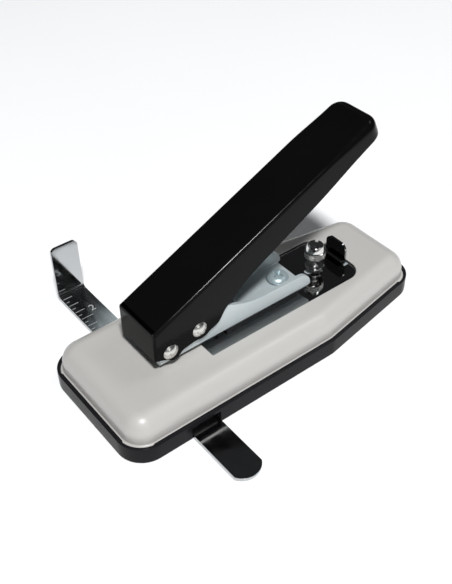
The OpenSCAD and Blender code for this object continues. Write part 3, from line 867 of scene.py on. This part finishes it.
def build_arm():
    low, high = box("frame_arm")
    arm_z, t, half = low.z, 1.9, high.y
    bend = 2.4
    top, step_z = high.z, 34.3
    sweep_r, sweep_x, nose_r = 46.0, 2.0, 6.0
    rear = high.x
    peak_x = sweep_x - math.sqrt(sweep_r**2 - (sweep_r - (top - 0.4 - step_z)) ** 2)
    sweep_end = math.degrees(math.asin((sweep_x - peak_x) / sweep_r))
    upper = arc(PIVOT.x, PIVOT.z, nose_r, 200, 70, 20)
    upper += [(PIVOT.x + 3.5, PIVOT.z + nose_r - 0.6), (PIVOT.x + 9, top), (peak_x - 1.6, top)]
    upper += arc(sweep_x, step_z + sweep_r, sweep_r, 270 - sweep_end, 270, 24)
    upper += arc(rear - 7, step_z - 7.3, 7, 90, 0, 14)
    upper += [(rear, arm_z + bend + 0.2)]
    count = 150
    ups = resample(upper, count)
    x_front = PIVOT.x - 4.6
    rows_wall, rows_bend, rows_web = 7, 7, 10
    web_back = rear - 2
    rows = []
    for i, p in enumerate(ups):
        s = i / (count - 1)
        x_low = lerp(x_front, rear, s)
        x_web = lerp(x_front, web_back, s)
        column = []
        for k in range(rows_wall):
            q = k / rows_wall
            column.append((lerp(p.x, x_low, q), half, lerp(p.y, arm_z + bend, q)))
        for k in range(rows_bend + 1):
            a = math.radians(90 * k / rows_bend)
            x = lerp(x_low, x_web, smoothstep(k / rows_bend))
            column.append((x, half - bend + bend * math.cos(a), arm_z + bend - bend * math.sin(a)))
        side = list(column)
        for k in range(1, rows_web):
            y = lerp(half - bend, -half + bend, k / rows_web)
            column.append((x_web, y, arm_z))
        column += [(x, -y, z) for x, y, z in reversed(side)]
        rows.append(column)
    arm = grid("arm_channel", rows)
    m = arm.modifiers.new("sheet", "SOLIDIFY")
    m.thickness = t * MM
    m.use_even_offset = True
    m.offset = 1
    bake(arm)
    mend(arm)
    # the blade's slot through the web
    blade_low, blade_high = box("punch_blade")
    gap = 0.15
    slot_x = (blade_low.x + blade_high.x) / 2
    slot_r = (blade_high.x - blade_low.x) / 2 + gap
    slot_end = (blade_high.y - blade_low.y) / 2 + gap - slot_r
    outline = arc(slot_x, slot_end, slot_r, 0, 180, 12)
    outline += arc(slot_x, -slot_end, slot_r, 180, 360, 12)
    cut(arm, prism("blade_slot", outline, arm_z - 1, arm_z + t + 1.5))
    finish_mesh(arm, bevel=0.7, segments=4, angle=60, sharp=60)
    fit(arm, "frame_arm")
    wear(arm, zinc, "base", "zinc_plate", "frame_arm")


# ---------------------------------------------------------------- rivets

def circle(r, z, n):
    return [(r * math.cos(2 * math.pi * j / n), r * math.sin(2 * math.pi * j / n), z) for j in range(n)]


def rivet_head(name, r, h, dimples):
    """A low dome with a rolled rim and three swaging dimples."""
    ball = (r * r + h * h) / (2 * h)
    rings, n = [], 96
    rim = 0.985
    radii = [0.02, 0.06, 0.1] + [0.1 + 0.9 * i / 26 for i in range(1, 27)]
    for q in radii:
        rr = r * min(q, rim)
        ring = []
        for j in range(n):
            a = 2 * math.pi * j / n
            x, y = rr * math.cos(a), rr * math.sin(a)
            z = h - ball + math.sqrt(max(0, ball * ball - rr * rr))
            for dx, dy, dr, depth in dimples:
                d = math.hypot(x - dx, y - dy) / dr
                if d < 1:
                    z -= depth * (1 - d * d) ** 1.5
            ring.append((x, y, z))
        rings.append(ring)
    rings += [circle(r, 0.10, n), circle(r * rim, 0, n)]
    rings.reverse()
    return loft(name, rings)


def build_rivet(node, body, slot_name, angle, spread, pin):
    low, high = box(node)
    cx, cz = (low.x + high.x) / 2, (low.z + high.z) / 2
    r = (high.x - low.x) / 2
    h = 1.8
    dimple_at, dimple_r, dimple_deep = 2.3, 0.62, 0.24
    face = high.y - h
    dimples = []
    for k in (-1, 0, 1):
        a = math.radians(angle + spread * k)
        dimples.append((dimple_at * math.cos(a), dimple_at * math.sin(a), dimple_r, dimple_deep))
    near = turned(rivet_head("rivet_near", r, h, dimples), 90, "X")
    move(near, cx, -face, cz)
    mirrored = [(-x, y, dr, d) for x, y, dr, d in dimples]
    far = turned(rivet_head("rivet_far", r, h, mirrored), -90, "X")
    far = turned(far, 180, "Y")
    move(far, cx, face, cz)
    profile = [(pin - 0.3, -face - 0.2), (pin, -face), (pin, face), (pin - 0.3, face + 0.2)]
    shank = turn("rivet_shank", profile, 40)
    turned(shank, 90, "X")
    move(shank, cx, 0, cz)
    piece = join(node + "_domed", near, far, shank)
    finish_mesh(piece, sharp=45)
    wear(piece, rivet_nickel, body, slot_name, node)


# ---------------------------------------------------------------- screws and washers

def build_arm_screws():
    low, high = box("arm_screws")
    head_h, head_r, shank_r = 2.9, 5.6, 2.7
    arm_w, arm_l, depth = 1.15, 3.2, 1.9
    top = high.z
    seat = top - head_h
    done = []
    for x in (high.x - head_r, low.x + head_r):
        profile = [(0.1, low.z), (shank_r - 0.5, low.z), (shank_r, low.z + 0.5)]
        z = low.z + 0.9
        while z < seat - 2.0:
            profile += [(shank_r, z), (shank_r - 0.32, z + 0.25), (shank_r, z + 0.5)]
            z += 0.8
        profile += [(shank_r, seat - 0.6), (shank_r, seat)]
        profile += [(head_r - 0.35, seat), (head_r - 0.08, seat + 0.12), (head_r, seat + 0.4)]
        profile += [(head_r, seat + 0.9), (head_r - 0.12, seat + 1.25)]
        for k in range(1, 9):
            q = k / 8
            crown = (head_h - 1.6) * math.sqrt(1 - (1 - q) ** 2)
            profile.append((lerp(head_r - 0.35, 0.15, q), seat + 1.6 + crown))
        screw = turn("screw_blank", profile, 56)
        for k in range(2):
            rings = []
            for s, z in [(0.45, top - depth), (1.0, top - 0.15), (1.2, top + 1)]:
                x1, y1 = arm_l * s, arm_w / 2 * s
                rings.append([(-x1, -y1, z), (x1, -y1, z), (x1, y1, z), (-x1, y1, z)])
            tool = loft("cross", rings)
            turned(tool, 20 + 90 * k, "Z")
            cut(screw, tool)
        finish_mesh(screw, bevel=0.07, segments=2, angle=50, sharp=50)
        move(screw, x, 0, 0)
        done.append(screw)
    piece = join("arm_screws_cross_head", *done)
    wear(piece, zinc_screw, "base", "zinc_screw", "arm_screws")


def build_lock_washers():
    low, high = box("arm_lock_washers")
    r = 4.9
    done = []
    for x in (high.x - r, low.x + r):
        rows = []
        n = 56
        for j in range(n + 1):
            a = math.radians(8 + 350 * j / n)
            lift = 0.10 * (j / n)
            section = []
            for k in range(16):
                b = 2 * math.pi * k / 16
                sx = math.copysign(abs(math.cos(b)) ** 0.45, math.cos(b))
                sz = math.copysign(abs(math.sin(b)) ** 0.45, math.sin(b))
                rr = 3.88 + 0.98 * sx
                z = low.z + 0.4 + 0.39 * sz + lift
                section.append((x + rr * math.cos(a), rr * math.sin(a), z))
            rows.append(section)
        done.append(loft("lock_washer", rows))
    piece = join("lock_washers_split", *done)
    fit(piece, "arm_lock_washers")
    finish_mesh(piece, sharp=50)
    wear(piece, spring_steel, "base", "bright_screw", "arm_lock_washers")


# ---------------------------------------------------------------- thumbscrew

def build_thumbscrew():
    low, high = box("thumbscrew")
    cx = (low.x + high.x) / 2
    R = (high.x - low.x) / 2
    top = high.z
    knurl_low, knurl_high = 28.4, 33.0
    chamfer = 1.0
    w_low, w_high = box("thumbscrew_washer")
    seat = w_high.z + 0.05
    neck = 2.0
    teeth, pitch, deep = 44, 0.72, 0.30
    n = teeth * 6

    def knurl(r, z, a):
        """Crossed diagonal grooves on the head's rim."""
        if r < R - 0.25 or not knurl_low + chamfer <= z <= knurl_high - 0.25:
            return r, z
        u = a * teeth / (2 * math.pi)
        v = (z - knurl_low) / pitch
        one = abs(((u + v) % 1.0) - 0.5) * 2
        two = abs(((u - v) % 1.0) - 0.5) * 2
        return r - deep * max(0.0, 1 - 1.5 * min(one, two)), z

    profile = [(0.1, low.z), (neck - 0.5, low.z), (neck, low.z + 0.5)]
    z = low.z + 0.8
    while z < seat - 1.6:
        profile += [(neck, z), (neck - 0.25, z + 0.2), (neck, z + 0.4)]
        z += 0.7
    profile += [(neck, seat), (2.3, seat), (2.5, seat + 0.1), (2.5, seat + 0.42), (2.35, seat + 0.55)]
    profile += [(2.12, seat + 0.6), (2.0, seat + 0.9), (2.0, 27.4), (2.1, 28.1), (2.3, knurl_low)]
    profile += [(R - chamfer - 0.2, knurl_low), (R - chamfer, knurl_low + 0.06)]
    profile += [(R - 0.15, knurl_low + chamfer - 0.1)]
    steps = 22
    for k in range(steps + 1):
        profile.append((R, lerp(knurl_low + chamfer + 0.02, knurl_high - 0.27, k / steps)))
    profile += [(R - 0.05, knurl_high - 0.24), (R - 0.4, knurl_high)]
    profile += [(R - 0.75, knurl_high + 0.05), (R - 0.85, knurl_high + 0.3), (R - 1.35, top - 0.35)]
    profile += [(R - 1.5, top - 0.12), (R - 1.75, top), (R - 2.6, top), (0.6, top), (0.1, top)]
    screw = turn("thumb_blank", profile, n, shape=knurl)
    tool = block("slot_tool", (-8, -0.8, top - 2.0), (8, 0.8, top + 1))
    turned(tool, 36, "Z")
    cut(screw, tool)
    move(screw, cx, 0, 0)
    screw.name = "thumbscrew_knurled"
    finish_mesh(screw, sharp=33)
    wear(screw, knob_nickel, "thumbscrew", "nickel_knob", "thumbscrew")
    # the flanged washer under it
    r = (w_high.x - w_low.x) / 2
    a, b = w_low.z, w_high.z
    sleeve_r, under = 2.8, b - 0.8
    rim = [(2.1, a + 0.1), (2.2, a), (sleeve_r - 0.12, a), (sleeve_r, a + 0.12)]
    rim += [(sleeve_r, under - 0.2), (sleeve_r + 0.2, under), (r - 0.2, under), (r - 0.04, under + 0.08)]
    rim += [(r, under + 0.22), (r, b - 0.25), (r - 0.06, b - 0.1), (r - 0.25, b), (2.2, b), (2.1, b - 0.1)]
    washer = loft("thumb_washer", [circle(q, z, 64) for q, z in rim], closed=True)
    move(washer, cx, 0, 0)
    washer.name = "thumbscrew_washer_turned"
    finish_mesh(fit(washer, "thumbscrew_washer"), sharp=50)
    wear(washer, knob_nickel, "clamp_washer", "nickel_knob", "thumbscrew_washer")


# ---------------------------------------------------------------- depth gauge

def build_gauge():
    low, high = box("depth_gauge")
    z0 = low.z
    t = 1.1
    half = high.y
    ear_rear = high.x
    rear = 60.0
    tab_half, tab_r = 7.0, 4.0
    lip_x = -25.0
    stop_half = 7.5
    bend = 1.9
    joint_x = rear - bend - 0.4
    n_half = box("die_plate")[1].y + 0.25
    win_front, win_rear, win_half = -20.1, 29.8, 8.3
    slot_front, slot_rear, slot_r = 40.4, 48.5, 2.2
    stop_top = 24.1
    plate = block("gauge_plate", (low.x, -half, z0), (joint_x + 0.01, half, z0 + t))
    notch = block("t1", (low.x - 1, -n_half, z0 - 1), (lip_x, n_half, z0 + t + 1))
    window = block("t2", (win_front, -win_half, z0 - 1), (win_rear, win_half, z0 + t + 1))
    slot = arc(slot_front, 0, slot_r, 90, 270, 16) + arc(slot_rear, 0, slot_r, -90, 90, 16)
    cut(plate, notch, window, prism("t3", slot, z0 - 1, z0 + t + 1))
    flatten(plate)
    # outer ears at the tail, either side of the tab's relief
    relief = tab_half + 1.5
    ears = []
    for s in (-1, 1):
        y0, y1 = sorted((s * relief, s * half))
        ears.append(block("ear", (joint_x - 0.5, y0, z0), (ear_rear, y1, z0 + t)))
    cut(plate, *ears, how="UNION")
    flatten(plate)
    finish_mesh(plate, bevel=0.16, segments=2, angle=50, sharp=50)
    # finger tab: a sheet that turns up, with round top corners
    path = [(joint_x - 3.0, z0), (joint_x, z0)]
    path += arc(rear - bend, z0 + bend, bend, 270, 360, 8)
    cols, climb = 28, 14
    base_z = path[-1][1]
    ys = []
    for k in range(cols + 1):
        ys.append(-tab_half + 2 * tab_half * (0.5 - 0.5 * math.cos(math.pi * k / cols)))
    rows = [[(x, y, z) for y in ys] for x, z in path]
    for i in range(1, climb + 1):
        row = []
        for y in ys:
            over = abs(y) - (tab_half - tab_r)
            top = high.z - (tab_r - math.sqrt(max(0, tab_r**2 - over**2)) if over > 0 else 0)
            row.append((rear, y, lerp(base_z, top, i / climb)))
        rows.append(row)
    tab = grid("gauge_tab", rows)
    m = tab.modifiers.new("sheet", "SOLIDIFY")
    m.thickness = t * MM
    m.offset = -1
    bake(tab)
    mend(tab)
    finish_mesh(tab, bevel=0.2, segments=3, angle=60, sharp=60)
    # card stop under the arm
    stop = block("gauge_stop", (lip_x, -stop_half, z0 + 0.02), (lip_x + t, stop_half, stop_top))
    finish_mesh(stop, bevel=0.2, segments=3)
    piece = join("depth_gauge_plate", plate, tab, stop)
    wear(piece, mirror_black, "depth_gauge", "gauge_paint", "depth_gauge")


# ---------------------------------------------------------------- side guide

def build_side_guide():
    low, high = box("side_guide")
    cx = (low.x + high.x) / 2
    half = (high.x - low.x) / 2
    t, bend, tab_r, tongue_r = 1.5, 3.6, 3.0, 8.8
    z0 = low.z
    y_out = high.y
    n_across, n_along, n_bend, n_tab = 24, 40, 8, 18
    xs = [-half * math.cos(math.pi * k / n_across) for k in range(n_across + 1)]
    rows = []
    for i in range(n_along + 1):
        row = []
        for x in xs:
            y_tip = low.y + tongue_r - math.sqrt(tongue_r**2 - x * x)
            row.append((cx + x, lerp(y_tip, y_out - bend, i / n_along), z0))
        rows.append(row)
    for i in range(1, n_bend + 1):
        a = math.radians(90 * i / n_bend)
        y, z = y_out - bend + bend * math.sin(a), z0 + bend - bend * math.cos(a)
        rows.append([(cx + x, y, z) for x in xs])
    for i in range(1, n_tab + 1):
        row = []
        for x in xs:
            over = abs(x) - (half - tab_r)
            top = high.z - (tab_r - math.sqrt(max(0, tab_r**2 - over**2)) if over > 0 else 0)
            row.append((cx + x, y_out, lerp(z0 + bend, top, i / n_tab)))
        rows.append(row)
    strip = grid("guide_strip", rows)
    m = strip.modifiers.new("sheet", "SOLIDIFY")
    m.thickness = t * MM
    m.offset = 1
    bake(strip)
    mend(strip)
    finish_mesh(strip, bevel=0.22, segments=3, angle=60, sharp=60)
    strip.name = "side_guide_strip"
    fit(strip, "side_guide")
    wear(strip, chrome, "side_guide", "chrome_strip", "side_guide")
    # scale: eighths of an inch along the nose-side edge
    eighth = 3.175
    inch_two = 59.95
    long_mark, quarter_mark, eighth_mark = 6.9, 5.3, 2.0
    mark_half, sunk, lift = 0.15, 0.1, 0.015
    marks = []
    z = z0 + t
    for k in range(-12, 13):
        y = inch_two + k * eighth
        if not 8 < y < y_out - bend - 0.6:
            continue
        length = long_mark if k % 8 == 0 else quarter_mark if k % 2 == 0 else eighth_mark
        x0 = low.x + 0.6
        marks.append(block("tick", (x0, y - mark_half, z - sunk), (x0 + length, y + mark_half, z + lift)))
    for number, y in (("1", inch_two - 8 * eighth), ("2", inch_two)):
        curve = bpy.data.curves.new("numeral", "FONT")
        curve.body = number
        curve.size = 6.4 * MM
        curve.extrude = 0.05 * MM
        curve.align_x = "CENTER"
        obj = bpy.data.objects.new("numeral", curve)
        bpy.context.scene.collection.objects.link(obj)
        bpy.context.view_layer.update()
        dg = bpy.context.evaluated_depsgraph_get()
        me = bpy.data.meshes.new_from_object(obj.evaluated_get(dg), depsgraph=dg)
        bpy.data.objects.remove(obj)
        bpy.data.curves.remove(curve)
        piece = bpy.data.objects.new("numeral", me)
        bpy.context.scene.collection.objects.link(piece)
        move(piece, low.x + 9.6, y + 2.6, z - 0.05 + lift)
        marks.append(piece)
    scale = join("side_guide_scale", *marks)
    wear(scale, scale_etch, "side_guide", "black_paint")


# ---------------------------------------------------------------- springs

def build_springs():
    low, high = box("return_springs")
    coil_r, wire = 2.1, 0.3
    offset = (high.x - low.x) / 2 - coil_r - wire
    cx = (low.x + high.x) / 2
    turns, per_turn, sides = 6, 40, 12
    closed = 0.35
    done = []
    for s in (-1, 1):
        rows = []
        count = turns * per_turn
        for i in range(count + 1):
            q = i / count
            # closed end coils and open ones between
            if q < 1 / turns:
                climb = closed * q
            elif q > 1 - 1 / turns:
                climb = 1 - closed * (1 - q)
            else:
                a = closed / turns
                climb = lerp(a, 1 - a, (q - 1 / turns) / (1 - 2 / turns))
            z = lerp(low.z + wire, high.z - wire, climb)
            a = 2 * math.pi * i / per_turn
            ring = []
            for j in range(sides):
                b = 2 * math.pi * j / sides
                r = coil_r + wire * math.cos(b)
                ring.append((cx + s * offset + r * math.cos(a), r * math.sin(a), z + wire * math.sin(b)))
            rows.append(ring)
        done.append(loft("spring", rows))
    piece = join("return_springs_coiled", *done)
    for p in piece.data.polygons:
        p.use_smooth = True
    fit(piece, "return_springs")
    wear(piece, spring_steel, "base", "spring_wire", "return_springs")
    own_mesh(piece)


# ---------------------------------------------------------------- the rest keeps its CAD mesh

def dress_cad():
    finishes = {
        "bed_channel": zinc, "cover_studs": zinc, "die_plate": tool_steel, "die_screws": rivet_nickel,
        "arm_spacer": tool_steel, "arm_nuts": zinc, "punch_blade": tool_steel, "punch_head": tool_steel,
        "blade_pins": spring_steel, "thumbscrew_nut": zinc, "guide_keeper": zinc,
        "keeper_rivets": rivet_nickel, "guide_leaf_spring": spring_steel,
    }
    for name, material in finishes.items():
        obj = NODES[name]
        for slot in obj.material_slots:
            slot.material = material
        if not obj.material_slots:
            obj.data.materials.append(material)


# ---------------------------------------------------------------- studio

def build_studio():
    size, n = 6.0, 24
    ticks = [lerp(-size, size, i / n) / MM for i in range(n + 1)]
    rows = [[(x, y, 0) for y in ticks] for x in ticks]
    floor = grid("studio_floor", rows)
    floor.data.materials.append(make_floor())
    world = bpy.data.worlds.new("studio")
    bpy.context.scene.world = world
    world.use_nodes = True
    back = world.node_tree.nodes["Background"]
    back.inputs["Color"].default_value = (0.93, 0.96, 1.0, 1)
    back.inputs["Strength"].default_value = 0.03
    bpy.context.scene.view_settings.view_transform = "Standard"

    def soft(name, where, aim, w, h, power, tint=(1, 1, 1)):
        """A rectangular soft light at where, turned to aim."""
        light = bpy.data.lights.new(name, "AREA")
        light.shape = "RECTANGLE"
        light.size, light.size_y = w, h
        light.energy = power
        light.color = tint
        obj = bpy.data.objects.new(name, light)
        obj.location = where
        obj.rotation_mode = "QUATERNION"
        obj.rotation_quaternion = (Vector(where) - Vector(aim)).to_track_quat("Z", "Y")
        bpy.context.scene.collection.objects.link(obj)

    soft("key_box", (-0.84, -1.67, 3.31), (0, 0, 0.02), 0.42, 0.34, 165, (0.98, 0.99, 1.0))
    soft("over_box", (1.75, -0.6, 2.98), (0, 0, 0.02), 1.1, 0.7, 14, (0.95, 0.98, 1.0))
    soft("front_box", (-0.4, -3.6, 1.5), (0, 0, 0.02), 1.6, 0.8, 9)
    soft("back_card", (0.514, 1.0, 1.151), (-0.05, 0.045, 0.0), 0.20, 0.25, 0.11, (0.85, 0.97, 1.0))


def build_camera():
    az, el, roll = (math.radians(a) for a in (-37.446, 41.095, -0.897))
    back = Vector((math.sin(az) * math.cos(el), -math.cos(az) * math.cos(el), math.sin(el)))
    right = (-back).cross(Vector((0, 0, 1))).normalized()
    up = right.cross(-back)
    r2 = right * math.cos(roll) + up * math.sin(roll)
    u2 = -right * math.sin(roll) + up * math.cos(roll)
    cam = bpy.data.cameras.new("photo_camera")
    cam.sensor_fit = "AUTO"
    cam.sensor_width = 36.0
    cam.lens = 53.98
    cam.clip_start, cam.clip_end = 0.01, 20
    obj = bpy.data.objects.new("photo_camera", cam)
    m = Matrix((r2, u2, back)).transposed().to_4x4()
    m.translation = Vector((-0.20358, -0.24872, 0.30888))
    obj.matrix_world = m
    bpy.context.scene.collection.objects.link(obj)
    bpy.context.scene.camera = obj


build_camera()
build_studio()
build_pad()
build_tray()
build_cover()
build_handle()
build_arm()
build_rivet("pivot_rivet", "base", "nickel_rivet", -100, 58, 2.45)
build_rivet("drive_rivet", "handle", "nickel_rivet", -62, 73, 2.0)
build_arm_screws()
build_lock_washers()
build_thumbscrew()
build_gauge()
build_side_guide()
build_springs()
dress_cad()
